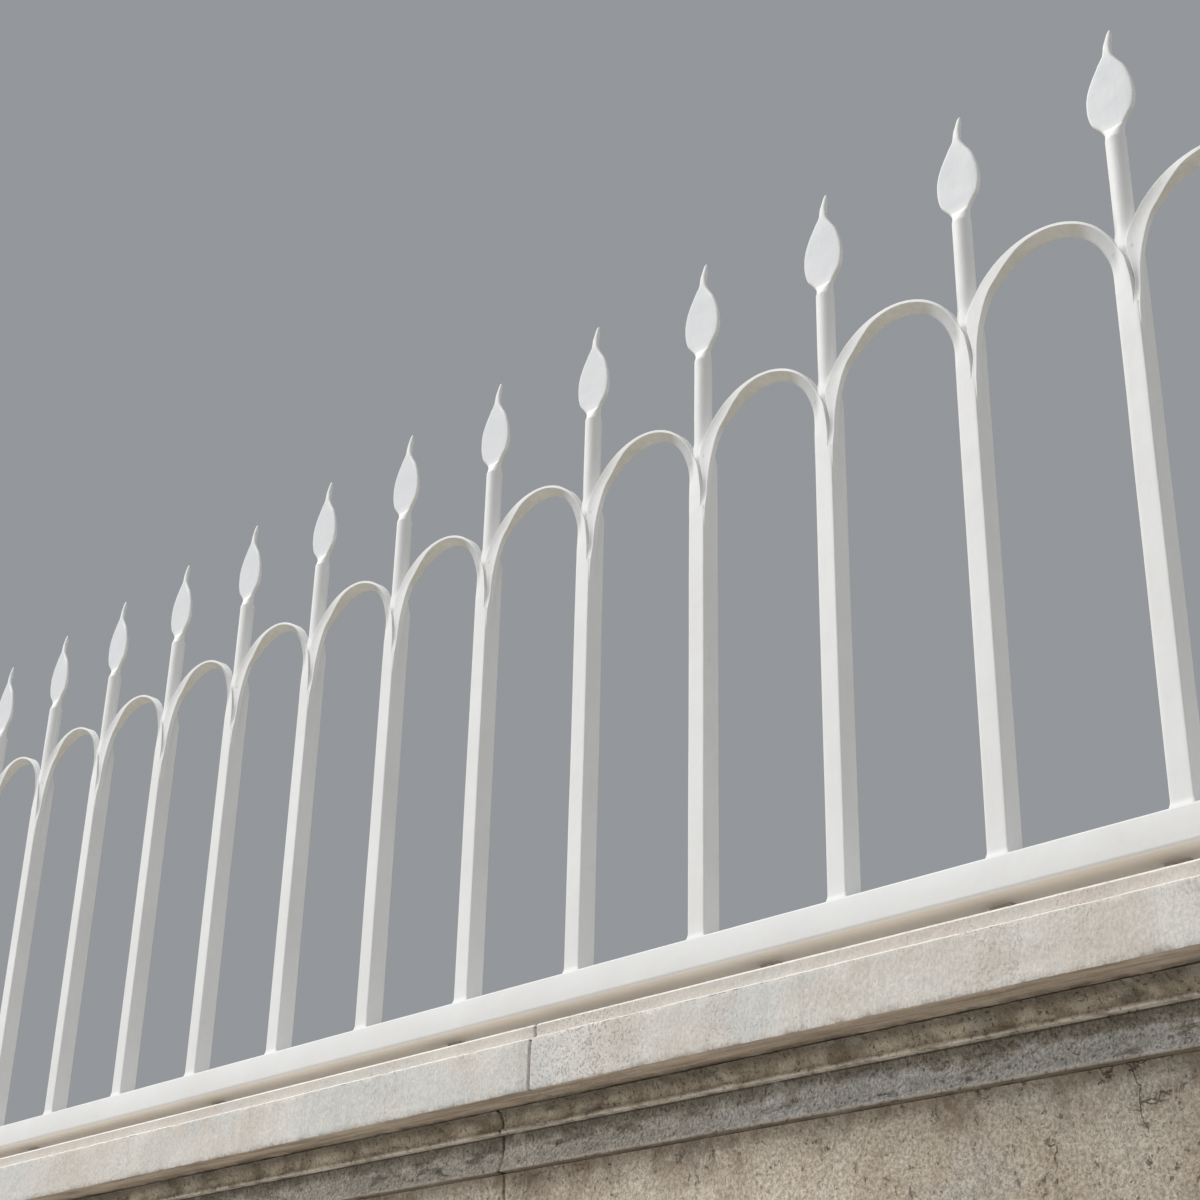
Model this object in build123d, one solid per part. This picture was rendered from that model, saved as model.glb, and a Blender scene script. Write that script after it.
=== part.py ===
from build123d import *
import os
from math import atan2, cos, degrees, radians, sin, sqrt

# Spear top railing on a moulded stone coping and wall.
# Millimetres. X runs along the railing, -Y is the street side, Z is up.
# The origin is on the ground, in the middle of the wall.

# Railing: spacing, stock and base rail
picket_spacing = 160
picket_count = 15
bar_size = 20
stem_diameter = 17.5
rail_height = 28
rail_depth = 36
rail_front_ledge = 2
rail_end_overhang = 30
rail_corner_radius = 2.5
rail_gap = 18

# Heights measured from the top of the base rail
arch_spring_height = 453
lap_height = 420
square_bar_height = 470
head_base_height = 592
tip_height = 700

# Square bar turned into the round stem
bar_taper_length = 26

# Arch bar: wide and shallow on its legs, hammered thin and deep at its crown
arch_leg_width = 14
arch_leg_depth = 8
arch_crown_thickness = 6
arch_crown_depth = 15
arch_crown_reach = 27
arch_crown_inner_radius = 54
arch_deepening_reach = 62
arch_shoulder_rise = 12

# Lap of the legs on the front of a bar. Sideways sizes start from the bar's centre line.
lap_angle = 29
lap_edge_offset = 6
lap_bulge = 2.8
lap_gap_rise = 40
leg_merge_drop = 18
leg_point_drop = 8
seat_slope_start = 30
seat_slope_end = 56

# Spear head, a leaf forged flat from the end of the stem. Rises start from its base.
head_width = 47
head_belly_rise = 37
head_flare_start = 3
head_flare_rise = 17
head_flare_width = 36
head_blade_thickness = 5
crease_drop = 5
crease_rise = 16
nib_start_rise = 84
nib_base_width = 7.4
nib_base_lean = 2.5
nib_tip_width = 2.6
nib_tip_lean = 6.9

# Packers under the rear of the base rail that hold it clear of the stone, and where they stand along X
foot_width = 22
foot_depth = 6
foot_rear_inset = 1
foot_positions = [-1120, -720, -300, 120, 540, 780, 934, 1120]

# Coping, moulding and wall
wall_thickness = 240
wall_end_overhang = 50
coping_top_height = 1200
coping_fascia_height = 49
coping_fillet_height = 13
coping_fillet_setback = 6
coping_overhang = 46
coping_arris = 3
moulding_top_projection = 10
cavetto_height = 17
cavetto_depth = 6
cavetto_hollow = 1.8
bead_height = 5
bead_projection = 8
cove_height = 31
cove_depth = 5
cove_hollow = 2.5
base_fillet_height = 4
base_fillet_projection = 8
railing_setback = 20

# Joints between stones along X, measured from the middle, and their width
coping_joints = [-909, 291]
moulding_joints = [-792, 208]
stone_joint_width = 3

# Positions that follow from the sizes above
half_spacing = picket_spacing / 2
half_bar = bar_size / 2
stem_radius = stem_diameter / 2
rail_bottom = coping_top_height + rail_gap
rail_top = rail_bottom + rail_height
coping_half_width = wall_thickness / 2 + coping_overhang
rail_front = -coping_half_width + railing_setback
railing_y = rail_front + rail_front_ledge + half_bar
rail_y = rail_front + rail_depth / 2
bar_front = railing_y - half_bar
rail_length = (picket_count - 1) * picket_spacing + 2 * rail_end_overhang
wall_length = rail_length + 2 * wall_end_overhang
coping_bottom = coping_top_height - coping_fascia_height - coping_fillet_height
moulding_height = cavetto_height + bead_height + cove_height + base_fillet_height
moulding_bottom = coping_bottom - moulding_height
spring_z = rail_top + arch_spring_height
lap_z = rail_top + lap_height
head_base_z = rail_top + head_base_height

os.makedirs("parts", exist_ok=True)


def save(shape, name):
    export_step(shape, f"parts/{name}.step")


def picket_x(index):
    return (index - (picket_count - 1) / 2) * picket_spacing


def arch_front(middle_x):
    """Front face of an arch. Its left leg thins to a point beside the neighbour's leg, its right leg
    spreads over the front of the bar and ends in a straight lap."""
    left_bar = middle_x - half_spacing
    right_bar = middle_x + half_spacing
    outer_reach = half_spacing * cos(radians(lap_angle))
    outer_rise = half_spacing * sin(radians(lap_angle))
    outer_left = (middle_x - outer_reach, spring_z + outer_rise)
    outer_right = (middle_x + outer_reach, spring_z + outer_rise)
    crown_top = spring_z + half_spacing
    crown_underside = crown_top - arch_crown_thickness
    crown_sag = arch_crown_inner_radius - sqrt(arch_crown_inner_radius ** 2 - arch_crown_reach ** 2)
    inner_reach = half_spacing - arch_leg_width
    shoulder_z = spring_z + arch_shoulder_rise
    slot_foot = (left_bar + lap_edge_offset, lap_z)
    slot_middle = (left_bar + lap_edge_offset + lap_bulge, lap_z + lap_gap_rise / 2)
    slot_top = (left_bar + lap_edge_offset, lap_z + lap_gap_rise)
    left_point = (left_bar + half_bar, lap_z - leg_point_drop)
    with BuildSketch(Plane.XZ) as outline:
        with BuildLine():
            lens = ThreePointArc(slot_foot, slot_middle, slot_top)
            TangentArc(slot_top, outer_left, tangent=lens % 1)
            top = ThreePointArc(outer_left, (middle_x, crown_top), outer_right)
            TangentArc(outer_right, (right_bar + lap_edge_offset, lap_z), tangent=top % 1)
            Line((right_bar + lap_edge_offset, lap_z), (right_bar - half_bar, lap_z))
            merge = (right_bar - half_bar, spring_z - leg_merge_drop)
            Line((right_bar - half_bar, lap_z), merge)
            crown = ThreePointArc((middle_x - arch_crown_reach, crown_underside - crown_sag),
                                  (middle_x, crown_underside),
                                  (middle_x + arch_crown_reach, crown_underside - crown_sag))
            right_inner = TangentArc(crown @ 1, (middle_x + inner_reach, shoulder_z), tangent=crown % 1)
            TangentArc(right_inner @ 1, merge, tangent=right_inner % 1)
            left_inner = TangentArc(crown @ 0, (middle_x - inner_reach, shoulder_z), tangent=-(crown % 0))
            TangentArc(left_inner @ 1, left_point, tangent=left_inner % 1)
            Line(left_point, slot_foot)
        make_face()
    return outline.sketch


def arch_plan(middle_x):
    """The same arch from above: shallow legs and a back that swells towards the crown."""
    end_reach = half_spacing + half_bar
    with BuildSketch(Plane.XY) as outline:
        with BuildLine():
            Line((middle_x - end_reach, 0), (middle_x + end_reach, 0))
            Line((middle_x + end_reach, 0), (middle_x + end_reach, arch_leg_depth))
            Line((middle_x + end_reach, arch_leg_depth), (middle_x + arch_deepening_reach, arch_leg_depth))
            ThreePointArc((middle_x + arch_deepening_reach, arch_leg_depth), (middle_x, arch_crown_depth),
                          (middle_x - arch_deepening_reach, arch_leg_depth))
            Line((middle_x - arch_deepening_reach, arch_leg_depth), (middle_x - end_reach, arch_leg_depth))
            Line((middle_x - end_reach, arch_leg_depth), (middle_x - end_reach, 0))
        make_face()
    return outline.sketch


def arch(middle_x):
    front = Pos(0, bar_front, 0) * extrude(arch_front(middle_x), amount=-arch_crown_depth)
    plan = Pos(0, bar_front, rail_top) * extrude(arch_plan(middle_x), amount=tip_height)
    return front & plan


def bar_and_stem(x):
    """Square bar whose corners are forged down in facets to the round stem below the spear head."""
    corner_radius = bar_size / sqrt(2)
    foot = (Align.CENTER, Align.CENTER, Align.MIN)
    taper_bottom = rail_top + square_bar_height
    taper_top = taper_bottom + bar_taper_length
    taper_angle = degrees(atan2(corner_radius - stem_radius, bar_taper_length))
    bar = Pos(x, railing_y, rail_top) * Box(bar_size, bar_size, square_bar_height, align=foot)
    octagon = RegularPolygon(corner_radius, 8, major_radius=False, rotation=22.5)
    facets = extrude(octagon, amount=bar_taper_length, taper=taper_angle)
    taper = facets & Box(bar_size, bar_size, bar_taper_length, align=foot)
    stem_length = head_base_z - 2 * crease_drop - taper_top
    stem = Pos(x, railing_y, taper_top) * Cylinder(stem_radius, stem_length, align=foot)
    return bar + Pos(x, railing_y, taper_bottom) * taper + stem


def leg_seat(x):
    """Recess across the front of a bar, in which two legs lie with a narrow gap between them."""
    floor_y = bar_front + arch_leg_depth
    with BuildSketch(Plane.YZ) as side:
        with BuildLine():
            Polyline((bar_front, lap_z), (floor_y, lap_z),
                     (floor_y, lap_z + seat_slope_start), (bar_front, lap_z + seat_slope_end), close=True)
        make_face()
    return extrude(Pos(x, 0, 0) * side.sketch, amount=half_bar, both=True)


def head_outline(x):
    """Front view of the leaf. It swells from the flare of the stem and ends in a nib that leans to +X."""
    nib_z = head_base_z + nib_start_rise
    tip_z = rail_top + tip_height
    with BuildSketch(Plane.XZ) as outline:
        with BuildLine():
            for side in (-1, 1):
                flare = (x + side * head_flare_width / 2, head_base_z + head_flare_rise)
                belly = (x + side * head_width / 2, head_base_z + head_belly_rise)
                nib_base = (x + nib_base_lean + side * nib_base_width / 2, nib_z)
                nib_tip = (x + nib_tip_lean + side * nib_tip_width / 2, tip_z)
                Line((x, head_base_z), flare)
                TangentArc(belly, flare, tangent=(0, -1))
                TangentArc(belly, nib_base, tangent=(0, 1))
                Polyline(nib_base, nib_tip, (x + nib_tip_lean, tip_z))
        make_face()
    return outline.sketch


def head_side():
    """Side view: two slanted faces lead from the round stem to the flat blade, which thins at its nib."""
    slope = (stem_radius - head_blade_thickness / 2) / (crease_drop + crease_rise)
    bottom_z = head_base_z - 2 * crease_drop
    edge = [
        (stem_radius + slope * crease_drop, bottom_z),
        (head_blade_thickness / 2, head_base_z + crease_rise),
        (head_blade_thickness / 2, head_base_z + nib_start_rise),
        (nib_tip_width / 2, rail_top + tip_height),
    ]
    front = [(railing_y - half_depth, z) for half_depth, z in edge]
    back = [(railing_y + half_depth, z) for half_depth, z in reversed(edge)]
    with BuildSketch(Plane.YZ) as side:
        with BuildLine():
            Polyline(*front, *back, close=True)
        make_face()
    return side.sketch


def spear_head(x):
    """End of the stem, its flare and the leaf, all cut to the side view."""
    foot = (Align.CENTER, Align.CENTER, Align.MIN)
    stem_end_z = head_base_z + head_flare_start
    stem_bottom_z = head_base_z - 2 * crease_drop
    stem_end = Pos(x, railing_y, stem_bottom_z) * Cylinder(
        stem_radius, stem_end_z - stem_bottom_z, align=foot)
    flare = Pos(x, railing_y, stem_end_z) * Cone(
        stem_radius, head_flare_width / 2, head_flare_rise - head_flare_start, align=foot)
    leaf = Pos(0, railing_y, 0) * extrude(head_outline(x), amount=head_blade_thickness / 2, both=True)
    side = extrude(Pos(x, 0, 0) * head_side(), amount=head_width, both=True)
    return (stem_end + flare + leaf) & side


def spear_picket(x, arches):
    picket = bar_and_stem(x) + spear_head(x)
    if len(arches) == 2:
        picket -= leg_seat(x)
    for one_arch in arches:
        picket -= one_arch
    return picket


arches = []
for index in range(picket_count - 1):
    arches.append(arch(picket_x(index) + half_spacing))
    save(arches[-1], f"arch_{index + 1:02d}")

for index in range(picket_count):
    beside = arches[max(index - 1, 0):index + 1]
    save(spear_picket(picket_x(index), beside), f"spear_picket_{index + 1:02d}")

# Base rail, a bar with softened edges
with BuildPart() as base_rail:
    with Locations((0, rail_y, rail_bottom + rail_height / 2)):
        Box(rail_length, rail_depth, rail_height)
    fillet(base_rail.edges().filter_by(Axis.X), rail_corner_radius)
save(base_rail.part, "base_rail")

# Packers near the rear edge of the rail
foot_y = rail_front + rail_depth - foot_rear_inset - foot_depth / 2
for number, foot_x in enumerate(foot_positions, start=1):
    foot = Pos(foot_x, foot_y, coping_top_height + rail_gap / 2) * Box(foot_width, foot_depth, rail_gap)
    save(foot, f"rail_foot_{number:02d}")


def stone_spans(joints):
    """Start and end of each stone between the wall's ends, with an open joint between neighbours."""
    edges = [-wall_length / 2] + joints + [wall_length / 2]
    spans = []
    for start, end in zip(edges[:-1], edges[1:]):
        left = start if start == edges[0] else start + stone_joint_width / 2
        right = end if end == edges[-1] else end - stone_joint_width / 2
        spans.append((left, right))
    return spans


def run_along_x(profile, span):
    start, end = span
    return extrude(Pos(start, 0, 0) * profile, amount=end - start)


# Coping: a tall fascia under a narrow fillet that is set back
fillet_half_width = coping_half_width - coping_fillet_setback
fillet_bottom = coping_top_height - coping_fillet_height
with BuildSketch(Plane.YZ) as coping_profile:
    with BuildLine():
        Polyline(
            (-coping_half_width, coping_bottom), (coping_half_width, coping_bottom),
            (coping_half_width, fillet_bottom), (fillet_half_width, fillet_bottom),
            (fillet_half_width, coping_top_height - coping_arris),
            (fillet_half_width - coping_arris, coping_top_height),
            (-fillet_half_width + coping_arris, coping_top_height),
            (-fillet_half_width, coping_top_height - coping_arris),
            (-fillet_half_width, fillet_bottom), (-coping_half_width, fillet_bottom),
            close=True)
    make_face()

# Moulding under the coping: cavetto, bead, cove and a thin fillet
half_wall = wall_thickness / 2
cavetto_bottom = coping_bottom - cavetto_height
bead_bottom = cavetto_bottom - bead_height
cove_bottom = bead_bottom - cove_height


def moulding_side(side):
    """Outline of one face of the moulding, from its top down. side is -1 for the street."""
    top_y = side * (half_wall + moulding_top_projection)
    cavetto_y = side * (half_wall + moulding_top_projection - cavetto_depth)
    bead_y = side * (half_wall + bead_projection)
    cove_top_y = side * (half_wall + bead_projection - cove_depth)
    fillet_y = side * (half_wall + base_fillet_projection)
    cavetto_middle = ((top_y + cavetto_y) / 2 - side * cavetto_hollow, coping_bottom - cavetto_height / 2)
    cove_middle = ((cove_top_y + fillet_y) / 2 - side * cove_hollow, bead_bottom - cove_height / 2)
    ThreePointArc((top_y, coping_bottom), cavetto_middle, (cavetto_y, cavetto_bottom))
    Line((cavetto_y, cavetto_bottom), (bead_y, cavetto_bottom))
    Line((bead_y, cavetto_bottom), (bead_y, bead_bottom))
    Line((bead_y, bead_bottom), (cove_top_y, bead_bottom))
    ThreePointArc((cove_top_y, bead_bottom), cove_middle, (fillet_y, cove_bottom))
    Line((fillet_y, cove_bottom), (fillet_y, moulding_bottom))


with BuildSketch(Plane.YZ) as moulding_profile:
    with BuildLine():
        moulding_side(-1)
        moulding_side(1)
        Line((-half_wall - moulding_top_projection, coping_bottom),
             (half_wall + moulding_top_projection, coping_bottom))
        Line((-half_wall - base_fillet_projection, moulding_bottom),
             (half_wall + base_fillet_projection, moulding_bottom))
    make_face()

for number, span in enumerate(stone_spans(coping_joints), start=1):
    save(run_along_x(coping_profile.sketch, span), f"coping_stone_{number}")
for number, span in enumerate(stone_spans(moulding_joints), start=1):
    save(run_along_x(moulding_profile.sketch, span), f"moulding_stone_{number}")

wall = Pos(0, 0, moulding_bottom / 2) * Box(wall_length, wall_thickness, moulding_bottom)
save(wall, "wall")
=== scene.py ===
import math

import bpy
import numpy as np
from mathutils import Euler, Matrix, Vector
from mathutils.geometry import tessellate_polygon


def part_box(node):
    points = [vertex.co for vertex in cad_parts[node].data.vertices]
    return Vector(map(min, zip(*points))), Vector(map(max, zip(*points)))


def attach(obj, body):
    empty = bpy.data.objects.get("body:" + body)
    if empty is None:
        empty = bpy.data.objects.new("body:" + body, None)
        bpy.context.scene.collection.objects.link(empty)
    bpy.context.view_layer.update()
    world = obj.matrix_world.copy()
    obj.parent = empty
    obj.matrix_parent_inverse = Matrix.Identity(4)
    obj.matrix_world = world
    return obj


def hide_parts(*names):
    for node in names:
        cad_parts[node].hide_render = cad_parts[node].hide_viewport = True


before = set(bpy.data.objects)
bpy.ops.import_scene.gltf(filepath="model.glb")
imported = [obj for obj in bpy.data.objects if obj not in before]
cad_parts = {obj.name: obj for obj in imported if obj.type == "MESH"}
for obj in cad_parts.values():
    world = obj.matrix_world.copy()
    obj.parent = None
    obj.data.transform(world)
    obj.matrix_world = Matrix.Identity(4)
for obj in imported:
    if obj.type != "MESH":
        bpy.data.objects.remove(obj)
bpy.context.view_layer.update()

MM = 0.001

# Places taken from the frame, in millimetres
picket_count = sum(name.startswith("spear_picket_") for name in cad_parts)
arch_count = picket_count - 1
rail_lo, rail_hi = (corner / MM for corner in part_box("base_rail"))
first_picket_lo, first_picket_hi = (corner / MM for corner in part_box("spear_picket_01"))
second_picket_lo, second_picket_hi = (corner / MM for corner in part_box("spear_picket_02"))
wall_lo, wall_hi = (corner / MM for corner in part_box("wall"))
moulding_lo, moulding_hi = (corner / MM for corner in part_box("moulding_stone_2"))
coping_lo, coping_hi = (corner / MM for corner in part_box("coping_stone_2"))
rail_top = rail_hi.z
half_bar = (first_picket_hi.y - first_picket_lo.y) / 2
bar_front = first_picket_lo.y
railing_y = bar_front + half_bar
first_picket_x = (first_picket_lo.x + first_picket_hi.x) / 2
picket_spacing = second_picket_lo.x - first_picket_lo.x

# Heights above the base rail
tip_height = first_picket_hi.z - rail_top
head_length = 108
head_base_height = tip_height - head_length
square_bar_height = 470
bar_taper_length = 26
lap_height = 420
seat_slope_start = 450
seat_slope_end = 476
leg_depth = 8
stem_radius = 8.75
bar_edge_radius = 1.3


def new_object(name, vertices, faces, sharp_angle=40):
    """Mesh in metres from vertices in millimetres, smooth but for edges sharper than the angle."""
    mesh = bpy.data.meshes.new(name)
    mesh.from_pydata((np.asarray(vertices) * MM).tolist(), [], faces)
    mesh.update()
    mesh.polygons.foreach_set("use_smooth", [len(polygon.vertices) == 4 for polygon in mesh.polygons])
    mesh.set_sharp_from_angle(angle=math.radians(sharp_angle))
    made = bpy.data.objects.new(name, mesh)
    bpy.context.scene.collection.objects.link(made)
    return made


def stand_for(piece, node, material):
    """Makes the piece ride on the fixed body in place of a node, with the given material."""
    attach(piece, "root")
    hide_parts(node)
    piece.data.materials.append(material)
    return piece


def ring_faces(rings, points):
    """Quads between closed rings and one cap at each end."""
    faces = []
    for ring in range(rings - 1):
        start = ring * points
        for point in range(points):
            following = (point + 1) % points
            faces.append((start + point, start + following,
                          start + points + following, start + points + point))
    faces.append(tuple(reversed(range(points))))
    faces.append(tuple(range((rings - 1) * points, rings * points)))
    return faces


def ease(value, start, end):
    t = np.clip((value - start) / (end - start), 0, 1)
    return t * t * (3 - 2 * t)


def smooth_path(points, count):
    """Catmull-Rom curve through the points, sampled at an even step along its length."""
    points = np.asarray(points, float)
    padded = np.vstack([2 * points[0] - points[1], points, 2 * points[-1] - points[-2]])
    samples = []
    for index in range(1, len(padded) - 2):
        before, start, end, after = padded[index - 1:index + 3]
        for t in np.linspace(0, 1, 24, endpoint=False):
            samples.append(0.5 * (2 * start + (end - before) * t
                                  + (2 * before - 5 * start + 4 * end - after) * t ** 2
                                  + (3 * start - before - 3 * end + after) * t ** 3))
    samples.append(points[-1])
    samples = np.array(samples)
    steps = np.linalg.norm(np.diff(samples, axis=0), axis=1)
    along = np.concatenate([[0], np.cumsum(steps)])
    wanted = np.linspace(0, along[-1], count)
    return np.column_stack([np.interp(wanted, along, samples[:, k]) for k in range(samples.shape[1])])


def smooth_value(pairs, x):
    """Smooth value between given pairs, without overshoot."""
    pairs = np.asarray(pairs, float)
    step = np.diff(pairs[:, 0])
    slope = np.diff(pairs[:, 1]) / step
    tangent = np.zeros(len(pairs))
    inner = slope[:-1] * slope[1:] > 0
    tangent[1:-1][inner] = 2 / (1 / slope[:-1][inner] + 1 / slope[1:][inner])
    tangent[0], tangent[-1] = slope[0], slope[-1]
    k = int(np.clip(np.searchsorted(pairs[:, 0], x) - 1, 0, len(step) - 1))
    t = min(max((x - pairs[k, 0]) / step[k], 0), 1)
    return ((2 * t ** 3 - 3 * t ** 2 + 1) * pairs[k, 1] + (t ** 3 - 2 * t ** 2 + t) * step[k] * tangent[k]
            + (3 * t ** 2 - 2 * t ** 3) * pairs[k + 1, 1] + (t ** 3 - t ** 2) * step[k] * tangent[k + 1])


def lattice(ix, iy, iz, seed):
    """Repeatable random value from -1 to 1 for each whole-number place."""
    mixed = ix * 374761393 + iy * 668265263 + iz * 1440662683 + seed * 1013904223
    mixed = (mixed ^ (mixed >> 13)) & 0x7FFFFFFF
    mixed = (mixed * 1274126177) & 0x7FFFFFFFFFFF
    mixed = (mixed ^ (mixed >> 16)) & 0xFFFFFF
    return mixed / 0x7FFFFF - 1


def noise(places, step, seed):
    """Smooth random field through space, with a bump every step millimetres."""
    scaled = np.asarray(places, float) / step
    base = np.floor(scaled).astype(np.int64)
    t = scaled - base
    t = t * t * (3 - 2 * t)
    total = 0
    for dx in (0, 1):
        for dy in (0, 1):
            for dz in (0, 1):
                weight = np.abs(1 - dx - t[..., 0]) * np.abs(1 - dy - t[..., 1]) * np.abs(1 - dz - t[..., 2])
                total = total + weight * lattice(base[..., 0] + dx, base[..., 1] + dy, base[..., 2] + dz, seed)
    return total


def rough(places, step, octaves, seed):
    total = 0
    for octave in range(octaves):
        total = total + noise(places, step / 2 ** octave, seed + octave) / 1.8 ** octave
    return total


def line_noise(along, step, seed):
    """Smooth random value along one length."""
    along = np.asarray(along, float)
    return noise(np.stack([along, np.zeros_like(along), np.zeros_like(along)], axis=-1), step, seed)


# Materials


class Tree:
    """Short forms for the nodes of one material. Places are in metres, in the frame's own axes."""

    def __init__(self, name):
        self.material = bpy.data.materials.new(name)
        self.material.use_nodes = True
        self.nodes = self.material.node_tree.nodes
        self.links = self.material.node_tree.links
        self.shader = self.nodes["Principled BSDF"]
        self.place = self.nodes.new("ShaderNodeTexCoord").outputs["Object"]
        split = self.nodes.new("ShaderNodeSeparateXYZ")
        self.links.new(self.place, split.inputs[0])
        self.x, self.y, self.z = split.outputs
        self.down = None

    def put(self, socket, value):
        if isinstance(value, bpy.types.NodeSocket):
            self.links.new(value, socket)
        elif isinstance(value, (tuple, list)) and len(value) == 3 and socket.type == "RGBA":
            socket.default_value = (*value, 1)
        else:
            socket.default_value = value

    def stretched(self, scale, offset=(0, 0, 0)):
        node = self.nodes.new("ShaderNodeMapping")
        self.put(node.inputs["Vector"], self.place)
        node.inputs["Scale"].default_value = scale
        node.inputs["Location"].default_value = offset
        return node.outputs[0]

    def noise(self, scale, detail=4, roughness=0.55, distortion=0.0, place=None):
        node = self.nodes.new("ShaderNodeTexNoise")
        self.put(node.inputs["Vector"], place or self.place)
        node.inputs["Scale"].default_value = scale
        node.inputs["Detail"].default_value = detail
        node.inputs["Roughness"].default_value = roughness
        node.inputs["Distortion"].default_value = distortion
        return node.outputs[0]

    def cells(self, scale, feature="F1", place=None, output="Distance"):
        node = self.nodes.new("ShaderNodeTexVoronoi")
        node.feature = feature
        self.put(node.inputs["Vector"], place or self.place)
        node.inputs["Scale"].default_value = scale
        return node.outputs[output]

    def span(self, value, low, high, to_low=0.0, to_high=1.0):
        node = self.nodes.new("ShaderNodeMapRange")
        node.interpolation_type = "SMOOTHSTEP"
        self.put(node.inputs[0], value)
        for socket, number in zip(node.inputs[1:5], (low, high, to_low, to_high)):
            socket.default_value = number
        return node.outputs[0]

    def band(self, value, low, high, soft):
        """One between low and high, fading out over soft on both sides."""
        rise = self.span(value, low - soft, low + soft)
        fall = self.span(value, high - soft, high + soft, 1, 0)
        return self.math("MULTIPLY", rise, fall)

    def math(self, kind, a, b=0.0):
        node = self.nodes.new("ShaderNodeMath")
        node.operation = kind
        self.put(node.inputs[0], a)
        self.put(node.inputs[1], b)
        return node.outputs[0]

    def mix(self, share, a, b, kind="MIX"):
        node = self.nodes.new("ShaderNodeMix")
        node.data_type = "RGBA"
        node.blend_type = kind
        self.put(node.inputs[0], share)
        self.put(node.inputs[6], a)
        self.put(node.inputs[7], b)
        return node.outputs[2]

    def shade(self, colour, factor):
        """Colour made darker or lighter by a plain factor."""
        return self.mix(1.0, colour, factor, "MULTIPLY")

    def facing_down(self):
        """One on faces that look straight down, falling to minus one on those that look up."""
        if self.down is None:
            place = self.nodes.new("ShaderNodeTexCoord")
            split = self.nodes.new("ShaderNodeSeparateXYZ")
            self.links.new(place.outputs["Normal"], split.inputs[0])
            self.down = self.math("MULTIPLY", split.outputs[2], -1)
        return self.down

    def facing_front(self):
        """One on faces that look straight at the street."""
        place = self.nodes.new("ShaderNodeTexCoord")
        split = self.nodes.new("ShaderNodeSeparateXYZ")
        self.links.new(place.outputs["Normal"], split.inputs[0])
        return self.math("MULTIPLY", split.outputs[1], -1)

    def bump(self, height, distance, normal=None, strength=1.0):
        node = self.nodes.new("ShaderNodeBump")
        node.inputs["Strength"].default_value = strength
        node.inputs["Distance"].default_value = distance
        self.put(node.inputs["Height"], height)
        if normal is not None:
            self.put(node.inputs["Normal"], normal)
        return node.outputs[0]

    def finish(self, colour, roughness, normal):
        self.put(self.shader.inputs["Base Color"], colour)
        self.put(self.shader.inputs["Roughness"], roughness)
        self.put(self.shader.inputs["Normal"], normal)
        return self.material


# Pickets: rings of points, front part, right side, back part, left side

front_points = 9
side_points = 13
ring_points = 2 * (front_points + side_points)
across = np.linspace(-1, 1, front_points)
around = np.linspace(0, 1, side_points + 2)[1:-1]


def round_ring(radius, front_angle):
    """Circle whose front and back parts reach to the given angle on both sides."""
    front = front_angle * across
    right = front_angle + (math.pi - 2 * front_angle) * around
    angles = np.concatenate([front, right, front + math.pi, right + math.pi])
    return np.column_stack([radius * np.sin(angles), -radius * np.cos(angles)])


def square_ring(half, edge_radius):
    """Rounded square: flats at the front and back, corner arcs and a flat on each side."""
    flat = half - edge_radius
    arc = np.linspace(0, math.pi / 2, 4)[1:]
    right = [(flat + edge_radius * math.sin(a), -flat - edge_radius * math.cos(a)) for a in arc]
    middle = side_points - 2 * len(arc)
    right += [(half, flat * t) for t in np.linspace(-1, 1, middle + 2)[1:-1]]
    right += [(x, -y) for x, y in reversed(right[:len(arc)])]
    front = [(flat * s, -half) for s in across]
    back = [(-x, -y) for x, y in front]
    left = [(-x, -y) for x, y in right]
    return np.array(front + right + back + left)


def leaf_ring(half_width, half_depth):
    """Flat in front and behind with rounded edges. A full circle where the depth equals the width."""
    reach = min(half_width, 1.25 * half_depth)
    flat = half_width - reach
    start = math.radians(4)
    corner = (flat + reach * math.sin(start), -half_depth * math.cos(start))
    front = [(corner[0] * s, corner[1]) for s in across]
    turns = start + (math.pi - 2 * start) * around
    right = [(flat + reach * math.sin(turn), -half_depth * math.cos(turn)) for turn in turns]
    ring = np.array(front + right)
    return np.vstack([ring, -ring])


# Leaf: half width, sideways lean and half thickness at rises above its base
head_half_widths = [
    (0, 8.75), (4, 8.9), (8, 10.5), (11.5, 12.6), (15.5, 15.8), (21, 20), (26, 21.8), (31, 22.9), (37, 23.4),
    (46, 22.9), (52, 21.6), (57, 20.1), (63, 17.5), (68, 14.8), (72, 12), (77, 8.9), (80, 6.9), (85, 4.6),
    (90, 4.1), (95, 3.7), (99, 3.2), (104, 2.3), (107, 1.25), (108, 0.5),
]
head_leans = [(0, 0), (50, 0), (68, 1.0), (77, 1.15), (85, 2.6), (93, 3.3), (99, 5.1), (104, 6.25), (108, 7.2)]
nib_half_depths = [(85, 2.5), (99, 2.4), (104, 1.9), (107, 1.1), (108, 0.45)]
crease_bottom = -4
crease_top = 9
blade_half_thickness = 2.5
forward_lean = 2.6


def head_half_depth(rise):
    if rise >= nib_half_depths[0][0]:
        return smooth_value(nib_half_depths, rise)
    share = (rise - crease_bottom) / (crease_top - crease_bottom)
    slanted = stem_radius + (blade_half_thickness - stem_radius) * share
    blend = ease(rise, crease_top - 4, crease_top + 4)
    return max(slanted, blade_half_thickness) * (1 - blend) + blade_half_thickness * blend


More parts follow.
